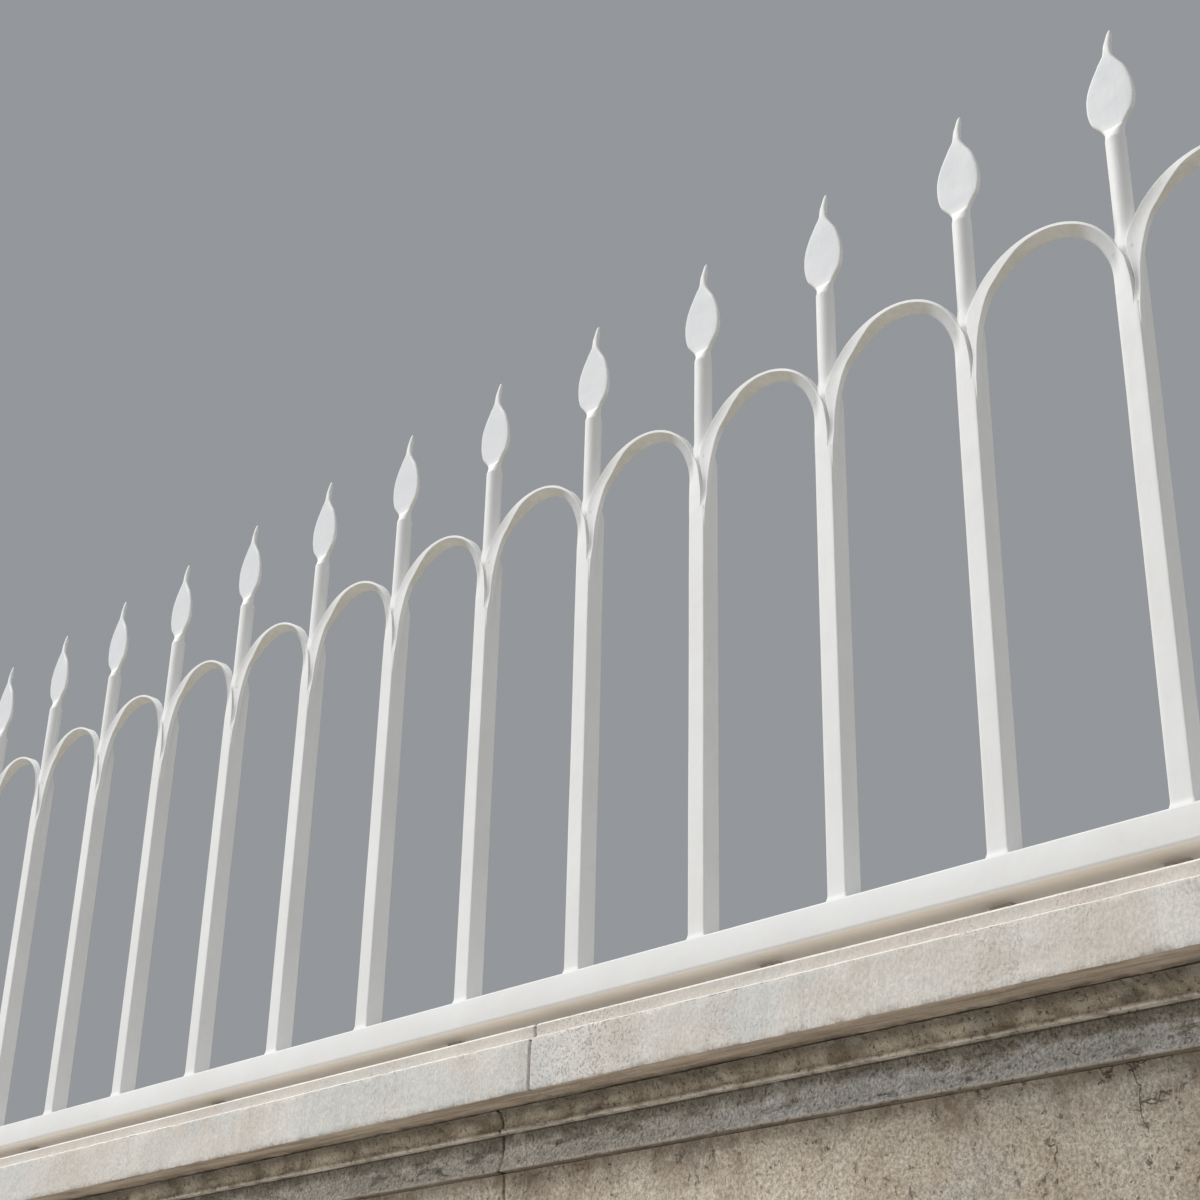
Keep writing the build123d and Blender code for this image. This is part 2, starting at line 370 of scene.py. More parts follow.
def picket_rings():
    """Heights and rings of one picket from its weld to its tip."""
    wide_angle = math.radians(45)
    narrow_angle = math.radians(4)
    circle = round_ring(stem_radius, wide_angle)
    rings = []
    for height, spread in [(-1.6, 1.5), (0, 1.4), (0.9, 1.0), (2.2, 0.55), (3.6, 0.2), (5.5, 0)]:
        rings.append((height, square_ring(half_bar + spread, bar_edge_radius + spread * 0.5)))
    for height in np.linspace(16, lap_height, 18):
        rings.append((height, square_ring(half_bar, bar_edge_radius)))
    for height in np.linspace(lap_height + 0.01, square_bar_height, 20):
        rings.append((height, square_ring(half_bar, bar_edge_radius)))
    for t in np.linspace(0, 1, 12)[1:]:
        blend = (ease(t, 0, 1) + t) / 2
        ring = square_ring(half_bar, bar_edge_radius) * (1 - blend) + circle * blend
        rings.append((square_bar_height + bar_taper_length * t, ring))
    for height in np.linspace(square_bar_height + bar_taper_length + 8, head_base_height - 22, 7):
        rings.append((height, circle))
    for t in np.linspace(0, 1, 8):
        angle = wide_angle + (narrow_angle - wide_angle) * t
        rings.append((head_base_height - 18 + 13.4 * t, round_ring(stem_radius, angle)))
    rises = np.concatenate([np.linspace(-3.8, 16, 22), np.linspace(18, 78, 28), np.linspace(79.5, 107, 20), [108]])
    for rise in rises:
        half_width = smooth_value(head_half_widths, max(rise, 0))
        ring = leaf_ring(half_width, min(head_half_depth(rise), half_width))
        ring[:, 0] += smooth_value(head_leans, max(rise, 0))
        ring[:, 1] -= forward_lean * ease(rise, crease_top, 90)
        rings.append((head_base_height + rise, ring))
    return rings


def seat_line(height, has_two_arches):
    """How far in front of the bar's axis its front may reach behind the legs."""
    if height <= lap_height or height >= seat_slope_end:
        return half_bar + 20
    if not has_two_arches:
        return half_bar - 0.4
    share = max(0, (height - seat_slope_start) / (seat_slope_end - seat_slope_start))
    return half_bar - leg_depth * (1 - share)


def make_picket(number, rings):
    x = first_picket_x + (number - 1) * picket_spacing
    has_two_arches = 1 < number < picket_count
    heights = np.array([height for height, ring in rings])
    fade = 1 - ease(heights, head_base_height - 60, head_base_height - 20)
    sway_x = 0.18 * line_noise(heights, 70, 100 + number) * fade
    sway_y = 0.12 * line_noise(heights, 90, 200 + number) * fade
    shift = np.array([x, railing_y, rail_top])
    vertices = []
    for index, (height, ring) in enumerate(rings):
        points = ring + [sway_x[index], sway_y[index]]
        points[:, 1] = np.maximum(points[:, 1], -seat_line(height, has_two_arches))
        vertices.append(np.column_stack([points, np.full(len(points), height)]) + shift)
    vertices = np.concatenate(vertices)
    on_head = ease(vertices[:, 2] - rail_top, head_base_height + 10, head_base_height + 30)
    on_head *= 1 - ease(vertices[:, 2] - rail_top, tip_height - 30, tip_height - 12)
    vertices[:, 1] += 0.09 * noise(vertices * [1, 0, 1], 15, 400 + number) * on_head
    name = f"spear_picket_{number:02d}"
    piece = new_object("dressed_" + name, vertices, ring_faces(len(rings), ring_points), 32)
    return stand_for(piece, name, paint)


# Arches. Each row: outer edge (x, height), inner edge (x, height), from the middle of the arch.
# The front face of the left leg narrows at the crown, where the underside turns forward
# and becomes the front face of the right leg.

arch_stations = [
    (-72.0, 393, -70.6, 392),
    (-72.6, 402, -69.6, 400),
    (-73.4, 412, -69.0, 410),
    (-74.2, 421, -68.7, 420),
    (-71.6, 435, -67.7, 433),
    (-71.3, 445, -66.8, 446),
    (-72.4, 453, -65.7, 455),
    (-75.2, 468, -63.2, 467),
    (-75.4, 479, -60.2, 477),
    (-72.1, 488.6, -56.5, 487),
    (-67.3, 496.2, -50.9, 497.5),
    (-56.6, 509.6, -43.2, 505.6),
    (-40, 522.3, -31.0, 516.6),
    (-20.7, 530.3, -16.5, 524.5),
    (0, 533, 0, 527),
    (20.7, 530.3, 17.8, 524.3),
    (40, 522.3, 33.6, 515.2),
    (56.6, 509.6, 46.2, 503.2),
    (67.3, 496.2, 54.9, 492),
    (73, 485.8, 60.2, 482.3),
    (77.9, 475.5, 64.2, 472.9),
    (81.5, 466.8, 66.9, 464.6),
    (83.7, 455, 68.9, 454),
    (85.2, 443, 69.9, 442),
    (85.8, 432, 70.1, 432),
    (85.9, 421, 70.1, 421),
    (85.9, 410, 70.2, 410),
    (85.9, 398, 70.2, 398),
]
arch_ring_count = 156
arch_ring_points = 35
crown_depth = 15
deepening_reach = 68
proud_of_bar = 0.12
# The rising leg's front is dished towards its outer edge, more on some arches than on others
plain_arch = 13


def soft_polygon(corners, softness):
    """Closed outline with each corner turned into a short curve, and a point on each side."""
    outline = []
    count = len(corners)
    for index in range(count):
        corner = corners[index]
        following = corners[(index + 1) % count]
        before = corners[index - 1] - corner
        after = following - corner
        before_length = max(np.linalg.norm(before), 1e-6)
        after_length = max(np.linalg.norm(after), 1e-6)
        start = corner + before / before_length * min(softness[index], 0.42 * before_length)
        end = corner + after / after_length * min(softness[index], 0.42 * after_length)
        for t in (0, 0.3, 0.7, 1):
            outline.append((1 - t) ** 2 * start + 2 * t * (1 - t) * corner + t * t * end)
        outline.append((corner + following) / 2)
    return np.array(outline)


def arch_section(share, from_middle, width, dish):
    """Outline across the bar: distance in from the outer edge, and depth behind the front."""
    depth = leg_depth + (crown_depth - leg_depth) * max(0, 1 - (from_middle / deepening_reach) ** 2) ** 1.5
    narrowing = ease(share, 0.40, 0.585)
    fading = ease(share, 0.56, 0.70)
    fold = 1 - 0.54 * narrowing - 0.28 * fading
    under = 1 - ease(share, 0.62, 0.98)
    front = fold * width
    corners = np.array([
        (0, 0),
        (0.30 * front, 0.51 * dish),
        (0.65 * front, 0.88 * dish),
        (front, dish),
        (width, max(depth * under * narrowing, 0.3, dish + 0.3)),
        (width, depth),
        (0, depth),
    ])
    turned = narrowing * (1 - ease(share, 0.80, 0.95))
    return soft_polygon(corners, (0.8, 2.0, 2.0, 0.8, 0.8 + 3.0 * turned, 1.0, 1.0))


def make_arch(number):
    middle_x = first_picket_x + (number - 0.5) * picket_spacing
    stations = smooth_path(arch_stations, arch_ring_count)
    outer = stations[:, 0:2]
    inner = stations[:, 2:4]
    middle = (outer + inner) / 2
    lengths = np.concatenate([[0], np.cumsum(np.linalg.norm(np.diff(middle, axis=0), axis=1))])
    # Shares run from the lap on the left bar to the lap on the right bar
    left_lap = np.interp(401, middle[:60, 1], lengths[:60])
    right_lap = lengths[-1] - 19
    shares = (lengths - left_lap) / (right_lap - left_lap)
    waver = 0.12 * line_noise(lengths, 34, 300 + number)
    waver *= ease(shares, 0.16, 0.28) * (1 - ease(shares, 0.78, 0.88))
    deep_waver = 0.14 * line_noise(lengths, 40, 330 + number)
    deep_waver *= ease(shares, 0.20, 0.32) * (1 - ease(shares, 0.70, 0.82))
    deepest_dish = 0.4 if number == plain_arch else 2.3 + 0.7 * float(line_noise(number * 1.37, 1, 360))
    vertices = []
    for index in range(arch_ring_count):
        direction = inner[index] - outer[index]
        width = np.linalg.norm(direction)
        inward = direction / width
        dish = deepest_dish * ease(shares[index], 0.02, 0.12) * (1 - ease(shares[index], 0.33, 0.46))
        outline = arch_section(shares[index], middle[index, 0], width, dish)
        sink = 0.75 * (1 - ease(middle[index, 1], lap_height - 24, lap_height + 1))
        place = outer[index] + inward * (outline[:, 0:1] + waver[index])
        deep = bar_front - proud_of_bar + sink + outline[:, 1] * (1 + deep_waver[index] / crown_depth)
        vertices.append(np.column_stack([middle_x + place[:, 0], deep, rail_top + place[:, 1]]))
    name = f"arch_{number:02d}"
    faces = ring_faces(arch_ring_count, arch_ring_points)
    piece = new_object("dressed_" + name, np.concatenate(vertices), faces, 45)
    return stand_for(piece, name, paint)


# Swept pieces: an outline in y and z carried along x


class Outline:
    """Closed outline with softened corners and a chosen spacing of points on each side."""

    def __init__(self, corners, softness, spacings):
        corners = np.asarray(corners, float)
        points = []
        count = len(corners)
        for index in range(count):
            corner = corners[index]
            following = corners[(index + 1) % count]
            before = corners[index - 1] - corner
            after = following - corner
            start = corner + before / np.linalg.norm(before) * min(softness[index], 0.4 * np.linalg.norm(before))
            end = corner + after / np.linalg.norm(after) * min(softness[index], 0.4 * np.linalg.norm(after))
            if softness[index] > 0:
                points += [(1 - t) ** 2 * start + 2 * t * (1 - t) * corner + t * t * end for t in (0, 0.35, 0.65, 1)]
            else:
                points.append(corner)
            next_soft = min(softness[(index + 1) % count], 0.4 * np.linalg.norm(after))
            last = following - after / np.linalg.norm(after) * next_soft
            steps = max(int(np.linalg.norm(last - end) / spacings[index]), 1)
            points += [end + (last - end) * k / steps for k in range(1, steps)]
        self.points = np.array(points)
        following = np.roll(self.points, -1, axis=0)
        if np.sum(self.points[:, 0] * following[:, 1] - following[:, 0] * self.points[:, 1]) < 0:
            self.points = self.points[::-1]
        ahead = np.roll(self.points, -1, axis=0) - np.roll(self.points, 1, axis=0)
        self.normals = np.column_stack([ahead[:, 1], -ahead[:, 0]])
        self.normals /= np.linalg.norm(self.normals, axis=1)[:, None]
        flat = [Vector((y, z, 0)) for y, z in self.points]
        self.cap = [self.facing_ahead(triangle) for triangle in tessellate_polygon([flat])]

    def facing_ahead(self, triangle):
        """The triangle with its corners in the order that makes it face along x."""
        first, second, third = (self.points[index] for index in triangle)
        u, v = second - first, third - first
        return tuple(triangle) if u[0] * v[1] - u[1] * v[0] > 0 else tuple(reversed(triangle))

    def near(self, corner, reach):
        """One at the corner, falling to nothing at the reach."""
        away = np.linalg.norm(self.points - corner, axis=1)
        return np.clip(1 - away / reach, 0, 1) ** 1.3


def sweep(name, outline, stations, worn, sharp_angle=38):
    """Mesh of the outline at each station. worn gives how far each point lies inside the outline."""
    count = len(outline.points)
    places = np.empty((len(stations), count, 3))
    places[:, :, 0] = stations[:, None]
    places[:, :, 1:] = outline.points[None]
    depth = worn(places)
    places[:, :, 1:] -= outline.normals[None] * depth[:, :, None]
    last = (len(stations) - 1) * count
    faces = ring_faces(len(stations), count)[:-2]
    faces += [tuple(reversed(triangle)) for triangle in outline.cap]
    faces += [tuple(last + index for index in triangle) for triangle in outline.cap]
    return new_object(name, places.reshape(-1, 3), faces, sharp_angle)


def end_softening(places, start, end, radius):
    """Rounds the arrises at both ends of a stone."""
    to_end = np.minimum(places[..., 0] - start, end - places[..., 0])
    return radius * np.clip(1 - to_end / radius, 0, 1) ** 2


def stone_stations(start, end, step):
    inside = np.linspace(start + 2.4, end - 2.4, int((end - start) / step))
    return np.concatenate([[start, start + 0.5, start + 1.2], inside, [end - 1.2, end - 0.5, end]])


# Coping stones

coping_fillet_height = 13
coping_fillet_setback = 6
top_chamfer = 2
ledge_chamfer = 1.7
half_coping = coping_hi.y
fillet_y = half_coping - coping_fillet_setback
ledge_z = coping_hi.z - coping_fillet_height
coping_side = [
    (half_coping, coping_lo.z), (half_coping, ledge_z - ledge_chamfer), (half_coping - ledge_chamfer, ledge_z),
    (fillet_y, ledge_z), (fillet_y, coping_hi.z - top_chamfer), (fillet_y - top_chamfer, coping_hi.z),
]
coping_corners = coping_side + [(-y, z) for y, z in reversed(coping_side)]
coping_softness = (1.5, 0.5, 0.5, 0, 0.4, 0.3)
coping_spacings = (3, 3, 3, 2.5, 3, 9)
coping_outline = Outline(coping_corners, coping_softness + coping_softness[::-1],
                         coping_spacings + (3, 2.5, 3, 3, 3, 9))
# Corner, reach of its wear, wear, chips and nicks
coping_wear = [
    ((-half_coping, coping_lo.z), 5.0, 0.4, 2.2, 1.2),
    ((-half_coping + 0.8, ledge_z - 0.8), 3.5, 0.08, 1.5, 1.3),
    ((half_coping, coping_lo.z), 5.0, 0.4, 2.2, 1.2),
    ((half_coping - 0.8, ledge_z - 0.8), 3.5, 0.08, 1.5, 1.3),
]


def make_coping(number):
    node = f"coping_stone_{number}"
    lo, hi = (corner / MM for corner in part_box(node))
    outline = coping_outline
    crisp = np.maximum(outline.near((-fillet_y + 1, coping_hi.z - 1), 6), outline.near((fillet_y - 1, coping_hi.z - 1), 6))
    crisp = np.maximum(crisp, outline.points[:, 1] > coping_hi.z - 0.1)

    def worn(places):
        depth = 0.30 + 0.26 * rough(places, 16, 4, 21) + 0.30 * (1 + noise(places, 140, 26))
        to_joint = np.minimum(places[:, 0, 0] - lo.x, hi.x - places[:, 0, 0])
        at_joint = np.exp(-np.clip(to_joint, 0, None) / 26)
        for index, (corner, reach, wear, chips, nicks) in enumerate(coping_wear):
            x = places[:, 0, 0]
            lost = wear * (1 + line_noise(x, 11, 30 + index) + 0.5 * line_noise(x, 4.5, 50 + index))
            lost = lost + chips * np.clip(line_noise(x, 19, 70 + index) - 0.5 + 0.5 * at_joint, 0, None)
            lost = lost + nicks * np.clip(line_noise(x, 6, 90 + index) - 0.5, 0, None)
            depth = depth + outline.near(corner, reach)[None] * lost[:, None]
        depth = depth * (1 - 0.88 * crisp[None])
        return np.clip(depth + end_softening(places, lo.x, hi.x, 1.2), 0, None)

    piece = sweep("dressed_" + node, outline, stone_stations(lo.x, hi.x, 3.2), worn)
    return stand_for(piece, node, coping_finish)


# Moulding: cavetto, bead, cove and a thin fillet

cavetto_height = 17
bead_height = 5
cove_height = 31
moulding_top_y = moulding_hi.y
bead_y = moulding_top_y - 2
cavetto_foot_y = moulding_top_y - 6
cove_top_y = bead_y - 5
cavetto_foot_z = moulding_hi.z - cavetto_height
bead_foot_z = cavetto_foot_z - bead_height
cove_foot_z = bead_foot_z - cove_height


def hollow(start, end, sag, steps):
    """Points of a shallow hollow between two places, without the ends."""
    start, end = np.array(start, float), np.array(end, float)
    shares = np.linspace(0, 1, steps + 2)[1:-1]
    return [tuple(start + (end - start) * t - np.array([4 * sag * t * (1 - t), 0])) for t in shares]


def moulding_outline():
    """Right side from the top down, mirrored for the left side."""
    right = [(moulding_top_y, moulding_hi.z)]
    right += hollow((moulding_top_y, moulding_hi.z), (cavetto_foot_y, cavetto_foot_z), 1.8, 6)
    right += [(cavetto_foot_y, cavetto_foot_z), (bead_y, cavetto_foot_z), (bead_y, bead_foot_z), (cove_top_y, bead_foot_z)]
    right += hollow((cove_top_y, bead_foot_z), (bead_y - 0.8, cove_foot_z), 2.5, 11)
    right += [(bead_y - 0.8, cove_foot_z), (bead_y, cove_foot_z - 0.4), (bead_y, moulding_lo.z)]
    soft = {2 + 6: 1.9, 3 + 6: 1.9, len(right) - 1: 0.8}
    corners = right + [(-y, z) for y, z in reversed(right)]
    softness = [soft.get(index, soft.get(len(corners) - 1 - index, 0)) for index in range(len(corners))]
    spacings = [2.6] * len(corners)
    spacings[len(right) - 1] = 40
    spacings[-1] = 40
    return Outline(corners, softness, spacings)


def make_moulding(number):
    node = f"moulding_stone_{number}"
    lo, hi = (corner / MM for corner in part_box(node))
    outline = moulding_outline()
    near_bead = outline.near((-bead_y, cavetto_foot_z - bead_height / 2), 5)
    near_foot = outline.near((-bead_y, moulding_lo.z + 2), 4)
    in_cove = ((outline.points[:, 1] < bead_foot_z - 4) & (outline.points[:, 1] > cove_foot_z)).astype(float)

    def worn(places):
        x = places[:, 0, 0]
        depth = 0.35 + 0.30 * rough(places, 13, 4, 121) + 0.3 * (1 + noise(places, 90, 128)) * 0.5
        gritty = 0.30 * np.abs(rough(places, 7, 3, 131))
        depth = depth + gritty * in_cove[None]
        lost = np.clip(line_noise(x, 26, 140) - 0.42, 0, None) * 3.2
        nicks = np.clip(line_noise(x, 8, 141) - 0.45, 0, None) * 1.4
        depth = depth + near_bead[None] * (0.15 + lost + nicks)[:, None]
        depth = depth + near_foot[None] * (np.clip(line_noise(x, 21, 143) - 0.3, 0, None) * 2.4)[:, None]
        return np.clip(depth + end_softening(places, lo.x, hi.x, 1.6), 0, None)

    piece = sweep("dressed_" + node, outline, stone_stations(lo.x, hi.x, 3.4), worn)
    return stand_for(piece, node, moulding_finish)


# Wall: dense near its top and where the photograph looks, coarser below

wall_joint_width = 3
wall_joint_depth = 5


def wall_joints():
    ends = [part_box(f"moulding_stone_{number}") for number in (1, 2, 3)]
    return [(ends[0][1].x + ends[1][0].x) / 2 / MM, (ends[1][1].x + ends[2][0].x) / 2 / MM]


def make_wall():
    half = wall_joint_width / 2
    joints = wall_joints()
    coarse = np.arange(wall_lo.x + 6, wall_hi.x, 9.0)
    dense = np.arange(-60, 860, 2.7)
    stations = np.concatenate([coarse[(coarse < -60) | (coarse > 860)], dense])
    for joint in joints:
        stations = stations[np.abs(stations - joint) > half + 0.5]
        stations = np.concatenate([stations, joint + np.array([-half - 0.4, -half, half, half + 0.4])])
    stations = np.sort(np.concatenate([stations, [wall_lo.x, wall_lo.x + 0.8, wall_hi.x - 0.8, wall_hi.x]]))
    half_wall = wall_hi.y
    drops = np.concatenate([np.arange(0, 160, 2.8), 160 + 921 * np.linspace(0, 1, 44)[1:-1] ** 1.2])
    front = [(-half_wall, wall_hi.z - drop) for drop in drops] + [(-half_wall, wall_lo.z)]
    back_drops = np.concatenate([np.arange(0, 120, 8), np.linspace(120, wall_hi.z - wall_lo.z, 40)])
    back = [(half_wall, wall_hi.z - drop) for drop in reversed(back_drops)]
    outline = Outline(front + back, [0] * (len(front) + len(back)), [400] * (len(front) + len(back)))

    def worn(places):
        depth = 0.7 + 0.45 * rough(places, 22, 5, 221) + 0.5 * (1 + noise(places, 160, 228))
        pocks = np.clip(noise(places, 7.5, 231) - 0.42, 0, None) * 3.0
        depth = depth + pocks
        for joint in joints:
            depth = depth + wall_joint_depth * (np.abs(places[..., 0] - joint) < half + 0.1)
        at_foot = places[..., 2] < wall_lo.z + 0.1
        at_head = places[..., 2] > wall_hi.z - 0.1
        depth = np.where(at_foot | at_head, 0, depth)
        return np.clip(depth, 0, None)

    piece = sweep("dressed_wall", outline, stations, worn)
    return stand_for(piece, "wall", wall_finish)


# Base rail

rear_burr = 0.5


def make_rail():
    depth = rail_hi.y - rail_lo.y + rear_burr
    height = rail_hi.z - rail_lo.z
    corners = np.array([(0, 0), (depth, 0), (depth, height), (0, height)], float)
    outline = soft_polygon(corners, (2.9, 0.2, 2.0, 1.6))
    stations = np.concatenate([[rail_lo.x, rail_lo.x + 0.7], np.linspace(rail_lo.x + 2, rail_hi.x - 2, 300),
                               [rail_hi.x - 0.7, rail_hi.x]])
    wave_y = 0.28 * (1 + line_noise(stations, 130, 11)) / 2 + 0.10 * line_noise(stations, 30, 13)
    wave_z = 0.25 * (1 + line_noise(stations, 150, 12)) / 2
    to_end = np.minimum(stations - rail_lo.x, rail_hi.x - stations)
    shrink = 0.7 * np.clip(1 - to_end / 1.0, 0, 1)
    centre = np.array([depth / 2, height / 2])
    vertices = []
    for index, x in enumerate(stations):
        points = centre + (outline - centre) * (1 - shrink[index] / centre)
        lower = 1 - ease(points[:, 1], height * 0.4, height)
        forward = 1 - ease(points[:, 0], 0, depth * 0.5)
        y = rail_lo.y + points[:, 0] + wave_y[index] * forward
        z = rail_lo.z + points[:, 1] + wave_z[index] * lower * forward
        vertices.append(np.column_stack([np.full(len(points), x), y, z]))
    piece = new_object("dressed_base_rail", np.concatenate(vertices), ring_faces(len(stations), 20), 50)
    return stand_for(piece, "base_rail", paint)


# Packers under the rail

def make_foot(node, seed):
    lo, hi = (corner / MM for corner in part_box(node))
    corners = [(lo.y, lo.z), (hi.y, lo.z), (hi.y, hi.z), (lo.y, hi.z)]
    outline = Outline(corners, (0.8, 0.8, 0.8, 0.8), (1.2, 1.5, 1.2, 1.5))

    def worn(places):
        ragged = 0.6 + 0.4 * rough(places, 6, 3, seed)
        along = (places[..., 0] - lo.x) / (hi.x - lo.x)
        taper = 1.2 + 2.0 * np.clip(1 - along / 0.7, 0, 1) + 1.4 * np.clip(along / 0.3 - 2.4, 0, 1)
        in_front = places[..., 1] < (lo.y + hi.y) / 2
        held = (places[..., 2] > lo.z + 0.3) & (places[..., 2] < hi.z - 0.3)
        return np.clip(ragged + taper * in_front, 0, np.where(in_front, 3.9, 1.2)) * held

    piece = sweep("dressed_" + node, outline, np.linspace(lo.x, hi.x, 19), worn, 30)
    return stand_for(piece, node, foot_finish)


# Materials


def white_paint():
    """Brushed white paint with a trace of grey dirt, and painted warm bounce light and painted shade mixed with dust on
    the faces that look down.
    """
    tree = Tree("white_paint")
    cloud = tree.noise(9, 3)
    colour = tree.mix(tree.span(cloud, 0.3, 0.7), (0.79, 0.79, 0.785), (0.83, 0.835, 0.835))
    dirt = tree.noise(60, 6, 0.7)
    blotch = tree.noise(14, 3, 0.6, place=tree.stretched((1, 1, 0.35), (3, 1, 0)))
    dirty = tree.math("MULTIPLY", tree.span(dirt, 0.56, 0.80), tree.span(blotch, 0.50, 0.72))
    colour = tree.mix(tree.math("MULTIPLY", dirty, 0.30), colour, (0.47, 0.45, 0.41))
    specks = tree.span(tree.cells(420), 0.045, 0.10, 1, 0)
    sparse = tree.span(tree.noise(35, 2, place=tree.stretched((1, 1, 1), (7, 2, 5))), 0.58, 0.68)
    colour = tree.mix(tree.math("MULTIPLY", tree.math("MULTIPLY", specks, sparse), 0.4), colour, (0.42, 0.39, 0.35))
    dust = tree.span(tree.noise(120, 4, 0.65), 0.3, 0.7, 0.75, 1.0)
    # Painted warm bounce light, light tan, under the rail, and painted shade, greyer and darker, under the arches, both
    # broken up by dust
    high_up = tree.span(tree.z, 1.30, 1.50)
    low_down = tree.span(tree.z, 1.30, 1.50, 1, 0)
    under_rail_bounce_and_dust = tree.math("MULTIPLY", tree.span(tree.facing_down(), 0.72, 0.99), tree.math("MULTIPLY", dust, low_down))
    colour = tree.mix(tree.math("MULTIPLY", under_rail_bounce_and_dust, 0.9), colour, (0.94, 0.86, 0.755))
    under_arch_shade_and_dust = tree.math("MULTIPLY", tree.span(tree.facing_down(), 0.10, 0.80), tree.math("MULTIPLY", dust, high_up))
    colour = tree.mix(tree.math("MULTIPLY", under_arch_shade_and_dust, 0.85), colour, (0.585, 0.553, 0.465))
    # Painted shade, grey, on the falling shoulder of each arch, where the face turns down and away from the light
    bay = tree.math("FRACT", tree.math("DIVIDE", tree.math("ADD", tree.x, 10 * picket_spacing * MM - first_picket_x * MM), picket_spacing * MM))
    shoulder = tree.math("MULTIPLY", tree.band(bay, 0.70, 0.972, 0.022), tree.band(tree.z, 1.706, 1.755, 0.014))
    shoulder = tree.math("MULTIPLY", shoulder, tree.span(tree.facing_front(), 0.05, 0.55))
    colour = tree.mix(tree.math("MULTIPLY", shoulder, 0.85), colour, (0.48, 0.487, 0.487))
    # Painted shade with a cool painted sky reflection on the flats of the spear heads, which leaves their edges
    # brighter
    blade = tree.band(tree.z, (rail_top + head_base_height + 13) * MM, (rail_top + tip_height - 25) * MM, 0.005)
    flat = tree.math("MULTIPLY", tree.span(tree.facing_front(), 0.95, 0.992), blade)
    colour = tree.mix(flat, colour, (0.715, 0.73, 0.75))
    normal = tree.bump(tree.noise(240, 3, 0.6, place=tree.stretched((1, 1, 0.12))), 0.00020)
    normal = tree.bump(tree.noise(1100, 2, 0.5), 0.00004, normal)
    normal = tree.bump(tree.noise(38, 2), 0.0010, normal, 0.5)
    shine = tree.span(tree.noise(30, 4), 0.3, 0.7, 0.54, 0.70)
    tree.shader.inputs["Specular IOR Level"].default_value = 0.28
    return tree.finish(colour, shine, normal)


def foot_metal():
    """Old packers: flaking rust, darkened to near black as painted shade under the rail."""
    tree = Tree("foot_metal")
    # Near-black painted shade, patched with rust brown
    rust = tree.span(tree.noise(180, 6, 0.7), 0.35, 0.65)
    colour = tree.mix(rust, (0.030, 0.026, 0.021), (0.085, 0.062, 0.045))
    dust = tree.span(tree.noise(420, 4), 0.60, 0.78)
    colour = tree.mix(tree.math("MULTIPLY", dust, 0.4), colour, (0.14, 0.12, 0.10))
    # Paint from the rail has run over their tops
    ragged_z = tree.math("ADD", tree.z, tree.span(tree.noise(160, 4), 0.3, 0.7, -0.0006, 0.0006))
    painted = tree.span(ragged_z, rail_lo.z * MM - 0.0021, rail_lo.z * MM - 0.0013)
    colour = tree.mix(tree.math("MULTIPLY", painted, 0.85), colour, (0.62, 0.55, 0.46))
    normal = tree.bump(tree.noise(500, 5, 0.7), 0.0006)
    return tree.finish(colour, 0.9, normal)


